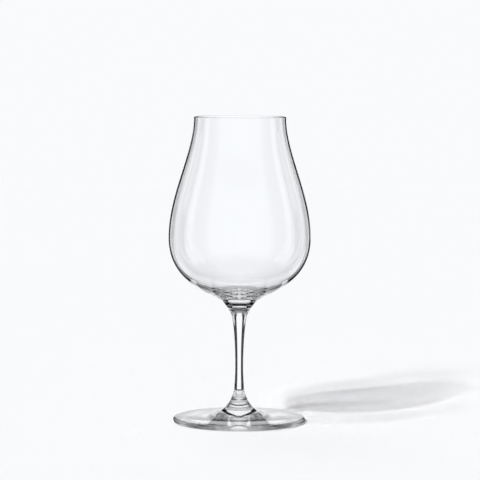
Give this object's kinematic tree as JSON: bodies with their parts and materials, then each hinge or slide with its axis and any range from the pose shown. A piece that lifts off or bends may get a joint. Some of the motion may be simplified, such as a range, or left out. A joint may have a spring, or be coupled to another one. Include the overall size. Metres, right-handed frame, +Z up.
{
  "type": "wine glass",
  "caption": "Tulip wine glass in clear crystal: a thin pear-shaped bowl that narrows to a straight lip, on a slender drawn stem and a flat round foot.",
  "frame": {"origin": "middle of the flat ring that the foot stands on, at table height", "axes": "+Z up along the stem's axis, towards the rim; the glass is round, so X and Y are alike"},
  "size_m": [0.0928, 0.0928, 0.2],
  "materials": {
    "crystal": "clear colourless crystal glass, fire-polished all over"
  },
  "bodies": {
    "root": {"bowl": "crystal", "stem": "crystal", "foot": "crystal"}
  },
  "joints": []
}
